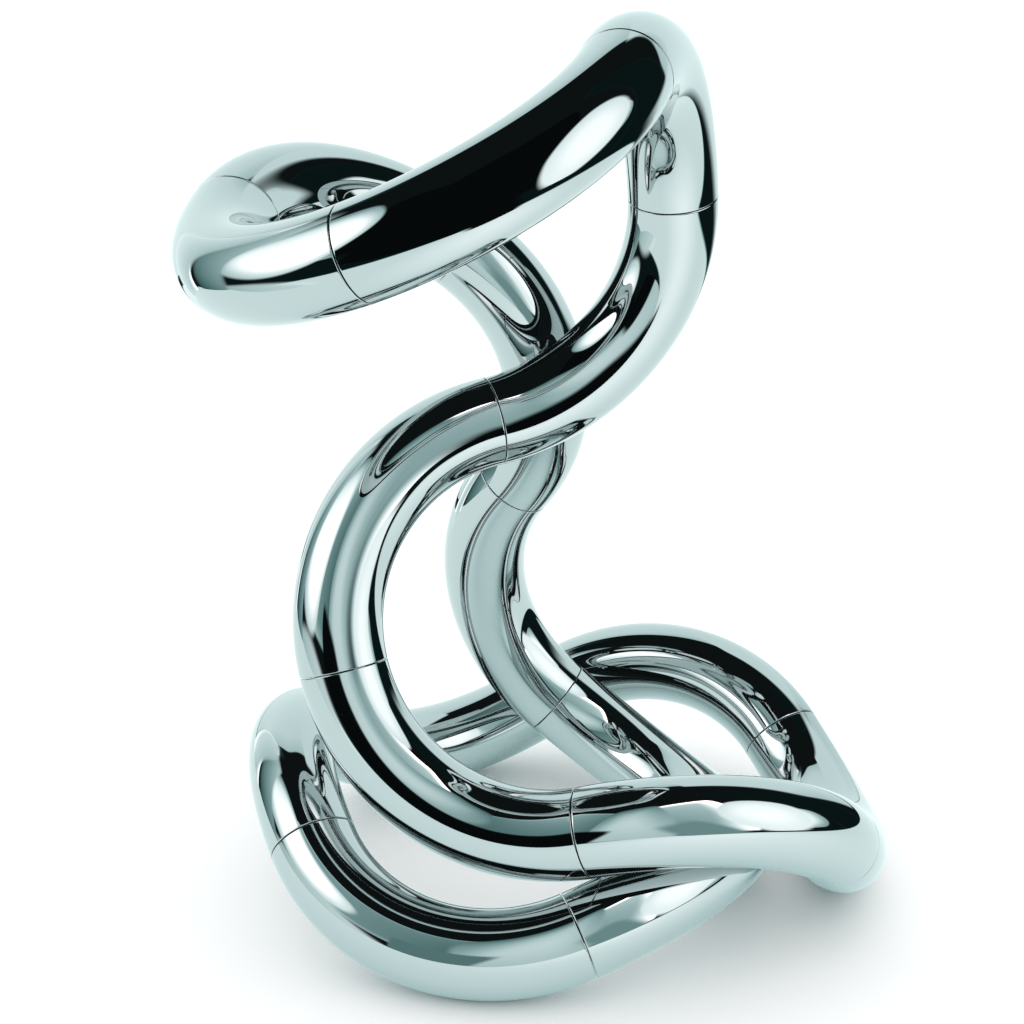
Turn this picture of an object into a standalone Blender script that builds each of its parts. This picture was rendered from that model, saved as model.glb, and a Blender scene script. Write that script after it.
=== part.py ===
"""A standing loop sculpture in polished metal, made of seventeen equal quarter bends of round tube.

Each bend is a quarter turn. Its two ends meet the ends of its neighbours at narrow seams, and at every
seam one bend is turned on the next about the tube's own line, so the closed loop climbs from a low
base of five bends, crosses over itself and comes down again. It stands on three of the base bends.
"""

import math

import bmesh
import bpy
import numpy as np
from mathutils import Matrix

# Sizes in metres
TUBE_DIAMETER = 0.018
BEND_RADIUS = 0.041
SEAM_GAP = 0.0003

# Facets round the tube and along a quarter turn, and the degrees between faces that keep an edge sharp
SIDES = 20
STEPS = 12
SHARP_EDGE = 50

# The turn at the start of each bend, in degrees, about the tube's line: 0 carries the curve of the bend
# before on in its own circle, and 180 curves it back into an S. The first five bends are the base.
TURNS = (67, -92, 93, -94, 73, -57, 62, 47, -173, 93, 62, -2, -68, 57, -150, 31, -116)
FEET = (0, 2, 4)

# The climb has two sides, which meet at the top. Up to this bend each swivels on the seam at its start,
# and after it each swivels on the seam at its end.
LAST_ON_START_SEAM = 11

# The compass direction of the tube where the last base bend hands over to the climb, from +X to +Y
HEADING = 13.5

# Gauss steps that close the loop and level the feet, the change of turn that tests a seam's effect, the
# smallest effect that counts against the largest, and the points tried along a bend for its lowest one
CLOSING_STEPS = 12
LEVELLING_STEPS = 12
SMALL_TURN = 1e-6
SMALLEST_EFFECT = 1e-6
LINE_POINTS = 901

# Bright plated metal, faintly cool in tone
CHROME_COLOUR = (0.80, 0.86, 0.87, 1.0)
CHROME_ROUGHNESS = 0.04

COLLECTION = "standing_loop_sculpture"


def turned(vector, axis, angle):
    """The vector turned about a unit axis at right angles to it."""
    return math.cos(angle) * vector + math.sin(angle) * np.cross(axis, vector)


def walk(turns):
    """The start of every bend and the end of the last: place, direction and inward side of the tube."""
    place = np.zeros(3)
    along = np.array([1.0, 0.0, 0.0])
    inward = np.array([0.0, 0.0, 1.0])
    starts = []
    for turn in np.roll(turns, -1):
        starts.append((place, along, inward))
        place = place + BEND_RADIUS * (along + inward)
        along, inward = inward, turned(-along, inward, turn)
    return starts, (place, along, inward)


def opening(turns):
    """How far the end of the last bend misses the start of the first, in place and in direction."""
    starts, end = walk(turns)
    first = starts[0]
    return np.concatenate([(end[0] - first[0]) / BEND_RADIUS, end[1] - first[1], end[2] - first[2]])


def closed_turns():
    """The turns with the smallest changes that bring the loop's two ends exactly together."""
    turns = np.radians(TURNS)
    for _ in range(CLOSING_STEPS):
        gap = opening(turns)
        effect = [(opening(turns + SMALL_TURN * unit) - gap) / SMALL_TURN for unit in np.eye(len(turns))]
        turns = turns - np.linalg.lstsq(np.array(effect).T, gap, rcond=SMALLEST_EFFECT)[0]
    return turns


def lowest_point(start):
    """The point of one bend's centre line that hangs lowest."""
    place, along, inward = start
    angles = np.linspace(0.0, math.pi / 2, LINE_POINTS)[:, None]
    line = place + BEND_RADIUS * (np.sin(angles) * along + (1 - np.cos(angles)) * inward)
    return line[np.argmin(line[:, 2])]


def standing(starts):
    """The loop turned so that its three feet are level and it faces its heading."""
    frames = np.array(starts)
    for _ in range(LEVELLING_STEPS):
        feet = [lowest_point(frames[foot]) for foot in FEET]
        up = np.cross(feet[1] - feet[0], feet[2] - feet[0])
        up = up / np.linalg.norm(up) * np.sign(up @ (frames[:, 0].mean(axis=0) - feet[0]))
        frames = frames @ levelling(up).T
    course = frames[max(FEET) + 1][1]
    about_z = Matrix.Rotation(math.radians(HEADING) - math.atan2(course[1], course[0]), 3, "Z")
    return frames @ np.array(about_z).T


def levelling(up):
    """The rotation that carries a unit vector to +Z the short way."""
    side = np.cross(up, [0.0, 0.0, 1.0])
    cross = np.array([[0, -side[2], side[1]], [side[2], 0, -side[0]], [-side[1], side[0], 0]])
    return np.eye(3) + cross + cross @ cross / (1 + up[2])


def bend_mesh():
    """One bend as a disc spun a quarter turn: it starts at the origin along +X and curves up to +Z."""
    bm = bmesh.new()
    trim = SEAM_GAP / 2 / BEND_RADIUS
    centre = (0.0, 0.0, BEND_RADIUS)
    bmesh.ops.create_circle(
        bm, segments=SIDES, radius=TUBE_DIAMETER / 2, matrix=Matrix.Rotation(math.pi / 2, 4, "Y")
    )
    bmesh.ops.rotate(bm, verts=bm.verts, cent=centre, matrix=Matrix.Rotation(-trim, 3, "Y"))
    bmesh.ops.spin(
        bm,
        geom=bm.verts[:] + bm.edges[:],
        cent=centre,
        axis=(0.0, -1.0, 0.0),
        angle=math.pi / 2 - 2 * trim,
        steps=STEPS,
    )
    bmesh.ops.holes_fill(bm, edges=bm.edges, sides=SIDES)
    bmesh.ops.recalc_face_normals(bm, faces=bm.faces)
    mesh = bpy.data.meshes.new("quarter_bend")
    bm.to_mesh(mesh)
    bm.free()
    mesh.shade_smooth()
    mesh.set_sharp_from_angle(angle=math.radians(SHARP_EDGE))
    return mesh


def chrome():
    """The one finish of all the bends."""
    material = bpy.data.materials.new("bright_chrome")
    material.use_nodes = True
    shader = material.node_tree.nodes["Principled BSDF"]
    shader.inputs["Base Color"].default_value = CHROME_COLOUR
    shader.inputs["Metallic"].default_value = 1.0
    shader.inputs["Roughness"].default_value = CHROME_ROUGHNESS
    return material


def from_far_end(frame):
    """The same bend's frame taken at its other end, looking back along the tube."""
    place, along, inward = frame
    return place + BEND_RADIUS * (along + inward), -inward, -along


def placed(frame):
    """The matrix that carries the bend's mesh, which is alike from both ends, to its place in the loop."""
    place, along, inward = frame
    matrix = Matrix.Identity(4)
    for column, axis in enumerate((along, np.cross(inward, along), inward, place)):
        for row in range(3):
            matrix[row][column] = axis[row]
    return matrix


def centred(objects):
    """Moves the whole loop so that its box stands on Z = 0 with its middle over the origin."""
    corners = []
    for bend in objects:
        corners += [bend.matrix_world @ vertex.co for vertex in bend.data.vertices]
    corners = np.array(corners)
    low, high = corners.min(axis=0), corners.max(axis=0)
    shift = np.array([(low[0] + high[0]) / 2, (low[1] + high[1]) / 2, low[2]])
    for bend in objects:
        bend.matrix_world = Matrix.Translation(-shift) @ bend.matrix_world


def main():
    for leftover in list(bpy.data.objects):
        bpy.data.objects.remove(leftover)
    collection = bpy.data.collections.new(COLLECTION)
    bpy.context.scene.collection.children.link(collection)

    starts, _ = walk(closed_turns())
    mesh = bend_mesh()
    mesh.materials.append(chrome())
    bends = []
    for number, frame in enumerate(standing(starts), start=1):
        bend = bpy.data.objects.new(f"bend_{number:02d}", mesh)
        bend.matrix_world = placed(frame if number <= LAST_ON_START_SEAM else from_far_end(frame))
        collection.objects.link(bend)
        bends.append(bend)
    centred(bends)


main()
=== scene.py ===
"""A standing loop of seventeen mirror-bright quarter bends of tube, on a pale floor in a small studio."""

import math

import bmesh
import bpy
from mathutils import Matrix, Vector


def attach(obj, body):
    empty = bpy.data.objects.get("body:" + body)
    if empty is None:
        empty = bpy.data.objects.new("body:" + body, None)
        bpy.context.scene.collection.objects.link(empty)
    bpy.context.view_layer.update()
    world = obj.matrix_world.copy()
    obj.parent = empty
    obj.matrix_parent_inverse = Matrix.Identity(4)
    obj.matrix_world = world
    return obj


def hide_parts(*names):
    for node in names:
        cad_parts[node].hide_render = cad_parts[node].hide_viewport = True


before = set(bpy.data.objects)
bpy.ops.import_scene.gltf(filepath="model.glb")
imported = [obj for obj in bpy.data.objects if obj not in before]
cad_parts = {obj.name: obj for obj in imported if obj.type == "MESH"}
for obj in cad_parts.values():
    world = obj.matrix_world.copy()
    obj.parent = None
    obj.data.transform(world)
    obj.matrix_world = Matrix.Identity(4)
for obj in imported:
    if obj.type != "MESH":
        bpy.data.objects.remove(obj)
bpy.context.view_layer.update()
bpy.context.scene.view_settings.view_transform = "Standard"


# The base: five bends that lie low and carry the rest.
# Each is a quarter turn of round tube, plated and polished bright after bending. Its rims are broken by a
# hair's breadth, and a short post inside the rim joins it to the next bend, which turns on it.

TUBE_RADIUS = 0.009
RIM = 0.00014
SEAM = 0.00022
FILLET_STEPS = 4
POST_RADIUS = 0.0062
POST_REACH = 0.00005
SIDES = 128
STEPS = 72
HOLDING_STEP = 0.00012
SHARP_EDGE = 40
SAME_FLAT = 0.01

TINT = (0.515, 0.552, 0.555)
DULLED = (0.48, 0.52, 0.523)
PAINTED_GLOW = (0.0019, 0.0027, 0.0028)
POLISH = 0.018
CLOUD_SCALE = 45.0
CLOUD_EDGE = (0.42, 0.72)
CLOUD_DULLING = 0.12
SMEAR_SCALE = 120.0
SMEAR_EDGE = (0.55, 0.80)
SMEAR_STRETCH = (1.0, 0.35, 1.0)
SMEAR_DULLING = 0.10
SMEAR_ROUGHNESS = 0.05
HAIRLINE_SCALE = 900.0
HAIRLINE_STRETCH = (1.0, 1.0, 0.06)
HAIRLINE_ROUGHNESS = 0.008
WAVE_SCALE = 38.0
WAVE_DEPTH = 0.00002


def ends_of(node):
    """The two flat ends of a bend, each as its middle and the way that it faces."""
    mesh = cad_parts[node].data
    flats = []
    for face in mesh.polygons:
        for faces in flats:
            if face.normal.angle(faces[0].normal) < SAME_FLAT:
                faces.append(face)
                break
        else:
            flats.append([face])
    flats.sort(key=lambda faces: -sum(face.area for face in faces))
    ends = []
    for faces in flats[:2]:
        rim = {mesh.vertices[vertex].co.to_tuple(6) for face in faces for vertex in face.vertices}
        middle = sum((Vector(corner) for corner in rim), Vector()) / len(rim)
        facing = sum((face.area * face.normal for face in faces), Vector())
        ends.append((middle, facing.normalized()))
    return ends


def bend(node, body):
    """A fine bend in the place of one CAD node: post, flat face, broken rim, tube, and the same again."""
    (start, back), (end, ahead) = ends_of(node)
    along = -back
    inward = (ahead - ahead.dot(along) * along).normalized()
    sideways = along.cross(inward)
    turn = along.angle(ahead)
    radius = (end - start).length / (2 * math.sin(turn / 2))
    gap = math.pi / 2 - turn
    quarter = math.pi / 2 - SEAM / radius
    first = (gap - SEAM / radius) / -2

    def station(distance):
        """The middle of the tube and its inward side at a distance along it from the first face."""
        angle = first + distance / radius
        middle = start + radius * (math.sin(angle) * along + (1 - math.cos(angle)) * inward)
        return middle, math.cos(angle) * inward - math.sin(angle) * along

    length = quarter * radius
    lip = [math.radians(90) * step / FILLET_STEPS for step in range(FILLET_STEPS + 1)]
    near = [(-POST_REACH, POST_RADIUS), (0.0, POST_RADIUS), (0.0, TUBE_RADIUS - RIM - HOLDING_STEP)]
    near += [(RIM * (1 - math.cos(a)), TUBE_RADIUS - RIM * (1 - math.sin(a))) for a in lip]
    near += [(RIM + HOLDING_STEP, TUBE_RADIUS)]
    first_full, last_full = near[-1][0], length - near[-1][0]
    run = [
        (first_full + (last_full - first_full) * step / STEPS, TUBE_RADIUS) for step in range(1, STEPS)
    ]
    rings = near + run + [(length - place, size) for place, size in reversed(near)]

    bm = bmesh.new()
    loops = []
    for place, size in rings:
        middle, side = station(place)
        loops.append([
            bm.verts.new(middle + size * (math.cos(a) * side + math.sin(a) * sideways))
            for a in (math.tau * k / SIDES for k in range(SIDES))
        ])
    for low, high in zip(loops, loops[1:]):
        for k in range(SIDES):
            bm.faces.new((low[k - 1], low[k], high[k], high[k - 1]))
    bm.faces.new(loops[0])
    bm.faces.new(loops[-1])
    bmesh.ops.recalc_face_normals(bm, faces=bm.faces)
    mesh = bpy.data.meshes.new(node + "_polished")
    bm.to_mesh(mesh)
    bm.free()
    mesh.shade_smooth()
    mesh.set_sharp_from_angle(angle=math.radians(SHARP_EDGE))
    mesh.materials.append(chrome)
    piece = bpy.data.objects.new(node + "_polished", mesh)
    bpy.context.scene.collection.objects.link(piece)
    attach(piece, body)
    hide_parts(node)
    return piece


class Socket:
    """A value in a node tree that can be used in sums."""

    def __init__(self, tree, link):
        self.tree, self.link = tree, link

    def node(self, kind, settings=None, inputs=None, out=0):
        """Adds a node with its settings and inputs, and gives one of its outputs."""
        made = self.tree.nodes.new(kind)
        for name, value in (settings or {}).items():
            setattr(made, name, value)
        for name, value in (inputs or {}).items():
            if isinstance(value, Socket):
                self.tree.links.new(value.link, made.inputs[name])
            else:
                made.inputs[name].default_value = value
        return Socket(self.tree, made.outputs[out])

    def math(self, operation, *values):
        return self.node("ShaderNodeMath", {"operation": operation}, dict(enumerate(values)))

    def __add__(self, other):
        return self.math("ADD", self, other)

    def __mul__(self, other):
        return self.math("MULTIPLY", self, other)

    def __truediv__(self, other):
        return self.math("DIVIDE", self, other)

    __radd__ = __add__
    __rmul__ = __mul__

    def part(self, axis):
        """One of the three numbers of a place."""
        return self.node("ShaderNodeSeparateXYZ", {}, {0: self}, out=axis)

    def size(self):
        return self.math("ABSOLUTE", self)

    def clamped(self, low, high):
        return self.node("ShaderNodeClamp", {}, {"Value": self, "Min": low, "Max": high})

    def distance(self, place):
        """How far this place is from another."""
        return self.node("ShaderNodeVectorMath", {"operation": "DISTANCE"}, {0: self, 1: place}, out=1)

    def step(self, low, high):
        """0 below low, 1 above high, smooth between them."""
        return self.node(
            "ShaderNodeMapRange",
            {"interpolation_type": "SMOOTHSTEP"},
            {"Value": self, "From Min": low, "From Max": high},
        )

    def noise(self, scale, detail=2.0, stretch=None):
        """Noise of a scale in cycles a metre, stretched along the axes if asked."""
        place = self
        if stretch:
            place = self.node("ShaderNodeVectorMath", {"operation": "MULTIPLY"}, {0: self, 1: stretch})
        return self.node("ShaderNodeTexNoise", {}, {"Vector": place, "Scale": scale, "Detail": detail})

    def tint(self, low, high):
        """One colour where this is 0 and another where it is 1."""
        return self.node(
            "ShaderNodeMix",
            {"data_type": "RGBA"},
            {0: self, 6: (*low, 1.0) if isinstance(low, tuple) else low, 7: (*high, 1.0)},
            out=2,
        )


def material(name):
    """A new material with an empty Principled shader: the material, its shader and its own coordinates."""
    made = bpy.data.materials.new(name)
    made.use_nodes = True
    tree = made.node_tree
    shader = tree.nodes["Principled BSDF"]
    place = Socket(tree, None).node("ShaderNodeTexCoord", out=3)
    return made, shader, place


def feed(shader, **sockets):
    """Joins sockets to a shader's inputs, whose names have spaces for underlines."""
    for name, socket in sockets.items():
        socket.tree.links.new(socket.link, shader.inputs[name.replace("_", " ")])


chrome, shader, place = material("bright_chrome")
shader.inputs["Metallic"].default_value = 1.0
# Painted light: the metal glows very faintly green, which lifts its darkest reflections off black.
shader.inputs["Emission Color"].default_value = (*PAINTED_GLOW, 1.0)
shader.inputs["Emission Strength"].default_value = 1.0

clouds = place.noise(CLOUD_SCALE, detail=3.0).step(*CLOUD_EDGE)
smears = place.noise(SMEAR_SCALE, detail=4.0, stretch=SMEAR_STRETCH).step(*SMEAR_EDGE)
hairlines = place.noise(HAIRLINE_SCALE, stretch=HAIRLINE_STRETCH)
waves = place.noise(WAVE_SCALE, detail=1.0)
feed(
    shader,
    Base_Color=(CLOUD_DULLING * clouds + SMEAR_DULLING * smears).tint(TINT, DULLED),
    Roughness=POLISH + SMEAR_ROUGHNESS * (smears * clouds) + HAIRLINE_ROUGHNESS * hairlines,
    Normal=place.node("ShaderNodeBump", {}, {"Strength": 1.0, "Distance": WAVE_DEPTH, "Height": waves}),
)

polished = []
for number in (1, 2, 3, 4, 5):
    polished.append(bend(f"bend_{number:02d}", "base"))


# The near side of the climb: six bends that rise at the back from the base to the top left turn.
# They are cut from the same tube as the base, and each swivels on the post of the bend below it.

for number in (6, 7, 8, 9, 10, 11):
    polished.append(bend(f"bend_{number:02d}", f"bend_{number:02d}"))


# The crest and the way down: six bends, from the long bar across the top to the low front curve.
# They close the loop, and each swivels on the bend that follows it down to the base.

for number in (12, 13, 14, 15, 16, 17):
    polished.append(bend(f"bend_{number:02d}", f"bend_{number:02d}"))


# The camera: a long lens about half a metre away, in front of the sculpture and above it.
# It looks down by about nineteen degrees.

CAMERA_PLACE = (-0.00952, -0.46521, 0.24355)
CAMERA_RIGHT = Vector((0.999998, -0.00147, 0.00119))
CAMERA_UP = Vector((-0.00066, 0.32080, 0.94715))

camera = bpy.data.objects.new("camera", bpy.data.cameras.new("camera"))
bpy.context.scene.collection.objects.link(camera)
camera.data.lens = 85.27
camera.data.sensor_width = 36.0
aim = Matrix((CAMERA_RIGHT, CAMERA_UP, CAMERA_RIGHT.cross(CAMERA_UP))).transposed()
camera.matrix_world = Matrix.Translation(CAMERA_PLACE) @ aim.to_4x4()
camera.data.clip_start = 0.01
bpy.context.scene.camera = camera


# The floor: a plain pale surface of matt paint with a very faint mottle, which runs out of sight.
# The metal doesn't see it, and has in its place the studio's glowing table, with painted light and painted
# shade.

FLOOR_RADIUS = 9.0
FLOOR_COLOUR = (0.955, 0.96, 0.96)
FLOOR_SHADE = (0.945, 0.95, 0.95)
FLOOR_MOTTLE = 3.0

bm = bmesh.new()
bmesh.ops.create_circle(bm, cap_ends=True, segments=96, radius=FLOOR_RADIUS)
mesh = bpy.data.meshes.new("floor")
bm.to_mesh(mesh)
bm.free()
floor = bpy.data.objects.new("floor", mesh)
bpy.context.scene.collection.objects.link(floor)
floor_paint, shader, place = material("floor_paint")
shader.inputs["Roughness"].default_value = 0.9
shader.inputs["Specular IOR Level"].default_value = 0.1
feed(shader, Base_Color=place.noise(FLOOR_MOTTLE).tint(FLOOR_COLOUR, FLOOR_SHADE))
mesh.materials.append(floor_paint)
floor.visible_glossy = False


# The studio: soft boxes, grey cards and black flags round the sculpture, above a glowing table with a round
# edge.
# They are seen only in its metal, where each glows from its middle to its rim and has a soft outline. A few
# are painted black for some bends only, which gives those bends painted dark reflections.

GLOW = 1.94
DIM_RED = 1.32
CARD_EDGE = 0.015
BRIGHTEST = 2.5
ONE_BOUNCE = 1.2
TWO_BOUNCES = 1.8


def unseen(piece):
    """Leaves a piece of the studio in the reflections only, and off the export."""
    piece.visible_camera = False
    piece.visible_diffuse = False
    piece.visible_transmission = False
    piece.visible_shadow = False


def glowing(name, paint, once=False):
    """A material that only glows: near white where it is bright and faintly green where it is dim.

    Where asked, it is seen once, and not in the reflection of a reflection.
    """
    made, shader, place = material(name)
    shader.inputs["Base Color"].default_value = (0.0, 0.0, 0.0, 1.0)
    shader.inputs["Roughness"].default_value = 1.0
    shader.inputs["Specular IOR Level"].default_value = 0.0
    shader.inputs["Emission Strength"].default_value = GLOW
    value, mask = paint(place)
    if once:
        bounces = place.node("ShaderNodeLightPath", out="Ray Depth")
        value = value * bounces.step(TWO_BOUNCES, ONE_BOUNCE)
    red = value.math("POWER", value, DIM_RED)
    feed(shader, Emission_Color=value.node("ShaderNodeCombineColor", {}, {0: red, 1: value, 2: value}))
    if mask:
        feed(shader, Alpha=mask)
    return made


def card(
    name, side, distance, width, bottom, top, middle, edge,
    fall=0.9, corner=6.0, turn=0.0, lean=0.0, rise=0.0, drift=0.0, once=False, black_for=(),
):
    """A card at a compass direction from the sculpture, 0 away from the camera and 90 to its right.

    Its glow goes from middle to edge, from fall of the way out, and grows by rise to its top and by drift
    to its right. Low corners are round. It faces the sculpture, less its turn, and leans in its own plane.
    The bends it is black for see only its dark shape.
    """
    half_width, half_height = width / 2, (top - bottom) / 2
    blur = CARD_EDGE / min(half_width, half_height)
    direction, facing, lean = math.radians(side), math.radians(side + turn), math.radians(lean)
    level = Vector((math.cos(facing), -math.sin(facing), 0.0))
    upright = Vector((0.0, 0.0, 1.0))
    across = math.cos(lean) * level + math.sin(lean) * upright
    upward = math.cos(lean) * upright - math.sin(lean) * level
    centre = Vector((math.sin(direction) * distance, math.cos(direction) * distance, (top + bottom) / 2))

    def paint(place):
        """The glow, and the card's soft outline."""
        u = place.part(0) / half_width
        v = place.part(1) / half_height
        far = u.size().math("POWER", u.size(), corner) + v.size().math("POWER", v.size(), corner)
        out = far.math("POWER", far, 1 / corner)
        glow = middle + (edge - middle) * out.step(fall, 1.0)
        return glow * (1.0 + rise * v + drift * u).clamped(0.0, BRIGHTEST), out.step(1.0 + blur, 1.0 - blur)

    x, y = half_width * (1 + blur), half_height * (1 + blur)
    mesh = bpy.data.meshes.new(name)
    mesh.from_pydata([(-x, -y, 0), (x, -y, 0), (x, y, 0), (-x, y, 0)], [], [(0, 1, 2, 3)])
    mesh.materials.append(glowing(name, paint, once))
    made = bpy.data.objects.new(name, mesh)
    bpy.context.scene.collection.objects.link(made)
    turned = Matrix((across, upward, across.cross(upward))).transposed().to_4x4()
    made.matrix_world = Matrix.Translation(centre) @ turned
    unseen(made)
    if black_for:
        seen_in = bpy.data.collections.new("sees_" + name)
        for number, piece in enumerate(polished, start=1):
            if number not in black_for:
                seen_in.objects.link(piece)
        made.light_linking.receiver_collection = seen_in


# Behind the camera: a wide grey wall, a nearer one before it, the dusk at their left, and two black blocks.

card(
    "wall_front", side=170, distance=0.89, width=1.43, bottom=-0.30, top=2.06, middle=0.34, edge=1.10,
    fall=0.60, corner=9.5, turn=-32, lean=9, rise=0.60, drift=-0.43, once=True, black_for=(12, 13),
)
card(
    "wall_middle", side=189, distance=0.38, width=0.31, bottom=-0.12, top=0.84, middle=0.54, edge=0.29,
    fall=0.05, turn=-32, lean=-3, rise=-0.60, drift=-0.10, once=True, black_for=(12, 13),
)
card(
    "dusk_left", side=219, distance=1.09, width=1.12, bottom=0.17, top=1.72, middle=0.21, edge=0.35,
    fall=0.82, corner=10, turn=6, rise=0.13, drift=0.60, once=True, black_for=(12, 13, 14),
)
card(
    "block_left", side=212, distance=0.53, width=0.34, bottom=-0.12, top=0.22, middle=0.15, edge=0.15,
    corner=10, turn=-52, lean=22, once=True, black_for=(1, 2, 3, 7, 8, 9, 10, 11, 12, 13, 14, 15, 16, 17),
)
card(
    "block_right", side=152, distance=0.28, width=0.11, bottom=-0.07, top=0.15, middle=0.22, edge=0.22,
    corner=5, lean=-32, once=True, black_for=(12, 13, 14, 15),
)

# To the right: a big soft box, the pale wall beyond it, and the tall black flag behind it.

card(
    "box_right", side=115, distance=0.43, width=0.42, bottom=-0.02, top=0.62, middle=0.96, edge=0.77,
    fall=0.26, corner=1.8, turn=-7, lean=4, rise=-0.09,
)
card(
    "wall_right", side=108, distance=1.74, width=1.83, bottom=0.0, top=1.18, middle=1.30, edge=0.55,
    fall=0.53, corner=2.7, turn=-3, lean=9, rise=0.21, drift=0.38,
)
card(
    "flag_right", side=71, distance=0.43, width=0.22, bottom=-0.07, top=1.40, middle=0.004, edge=0.01,
    corner=10, turn=6, lean=-3,
)

# To the left: the other soft box, a low card under it, and grey and bright strips out to the back.

card(
    "box_left", side=258.6, distance=0.46, width=0.61, bottom=0.08, top=0.68, middle=1.11, edge=0.46,
    fall=0.52, corner=2.3, turn=7, lean=16, rise=-0.16, drift=-0.49,
)
card(
    "low_left", side=263, distance=0.35, width=0.47, bottom=-0.25, top=0.05, middle=0.44, edge=0.55,
    corner=2.6, turn=-39, lean=-13, drift=-0.37,
)
card(
    "strip_left", side=291, distance=0.41, width=0.15, bottom=-0.06, top=0.49, middle=0.27, edge=0.35,
    corner=10, turn=-13, lean=-14, rise=0.60, drift=-0.40,
)
card(
    "line_left", side=304, distance=0.376, width=0.042, bottom=-0.06, top=0.42, middle=0.90, edge=0.0,
    corner=10, turn=8, lean=-6, drift=-0.60,
)
card(
    "pillar_left", side=305, distance=0.33, width=0.12, bottom=-0.01, top=0.36, middle=0.54, edge=0.70,
    corner=2.6, turn=47, lean=8, rise=-0.05, drift=0.16,
)
card(
    "edge_left", side=314, distance=0.41, width=0.05, bottom=-0.19, top=0.48, middle=0.80, edge=0.20,
    corner=10, turn=16, lean=5, rise=-0.60, drift=0.16,
)

# Behind the sculpture: the grey backdrop, and a card that leans over its right end.

card(
    "backdrop", side=353, distance=0.43, width=0.96, bottom=-0.12, top=0.68, middle=0.59, edge=0.50,
    fall=0.44, turn=9, lean=-31, rise=-0.10,
)
card(
    "card_right", side=19, distance=0.314, width=0.26, bottom=0.04, top=0.50, middle=0.58, edge=0.56,
    corner=12, turn=52, lean=28,
)

# The table: glows white, with a painted pool of light before the sculpture, painted shade near it and painted
# black close under it.

TABLE_RADIUS = 0.374
TABLE_EDGE = 0.01
TABLE_MIDDLE = (-0.056, 0.028, 0.0)
TABLE_GLOW = 0.627
POOL_MIDDLE = (0.120, -0.167, 0.0)
POOL_RADIUS = 0.216
POOL_GLOW = 0.792
SHADE_REACH = 0.12
SHADE_DEPTH = 0.35
SHADE_SAMPLES = 8
BLACK_BELOW = 0.04
LIT_ABOVE = 0.17
BEYOND = 0.004
GROUND_RADIUS = 4.0
ABOVE_FLOOR = 0.0002


def paint_table(place):
    """The table's glow, with a painted pool of light before the sculpture and painted shade near and under
    it. It needs no outline of its own, because the dark ground beyond it is painted too.
    """
    lit = TABLE_GLOW + (POOL_GLOW - TABLE_GLOW) * place.distance(POOL_MIDDLE).step(POOL_RADIUS, 0.0)
    # Painted shade: the glow dims where little open sky is near, and goes black close under the sculpture.
    open_sky = place.node(
        "ShaderNodeAmbientOcclusion", {"samples": SHADE_SAMPLES}, {"Distance": SHADE_REACH}, out=1
    )
    lit = lit * lit.math("POWER", open_sky, SHADE_DEPTH) * open_sky.step(BLACK_BELOW, LIT_ABOVE)
    on_table = place.distance(TABLE_MIDDLE).step(TABLE_RADIUS + TABLE_EDGE, TABLE_RADIUS - TABLE_EDGE)
    return lit * on_table + BEYOND, None


bm = bmesh.new()
bmesh.ops.create_circle(bm, cap_ends=True, segments=64, radius=GROUND_RADIUS)
mesh = bpy.data.meshes.new("table_in_metal")
bm.to_mesh(mesh)
bm.free()
mesh.materials.append(glowing("table_in_metal", paint_table))
table = bpy.data.objects.new("table_in_metal", mesh)
bpy.context.scene.collection.objects.link(table)
table.location.z = ABOVE_FLOOR
unseen(table)


# The light: an even pale sky for the floor and the background, and darkness beyond the cards in the metal.
# There is no lamp, so the shadows on the floor are soft.

SKY = (1.25, 1.25, 1.25)
DARK = (0.0035, 0.005, 0.005)

world = bpy.data.worlds.new("studio")
bpy.context.scene.world = world
world.use_nodes = True
tree = world.node_tree
tree.nodes.clear()
rays = Socket(tree, None).node("ShaderNodeLightPath").link.node
in_metal = Socket(tree, rays.outputs["Is Glossy Ray"])
back = tree.nodes.new("ShaderNodeBackground")
out = tree.nodes.new("ShaderNodeOutputWorld")
tree.links.new(in_metal.tint(SKY, DARK).link, back.inputs["Color"])
tree.links.new(back.outputs[0], out.inputs[0])
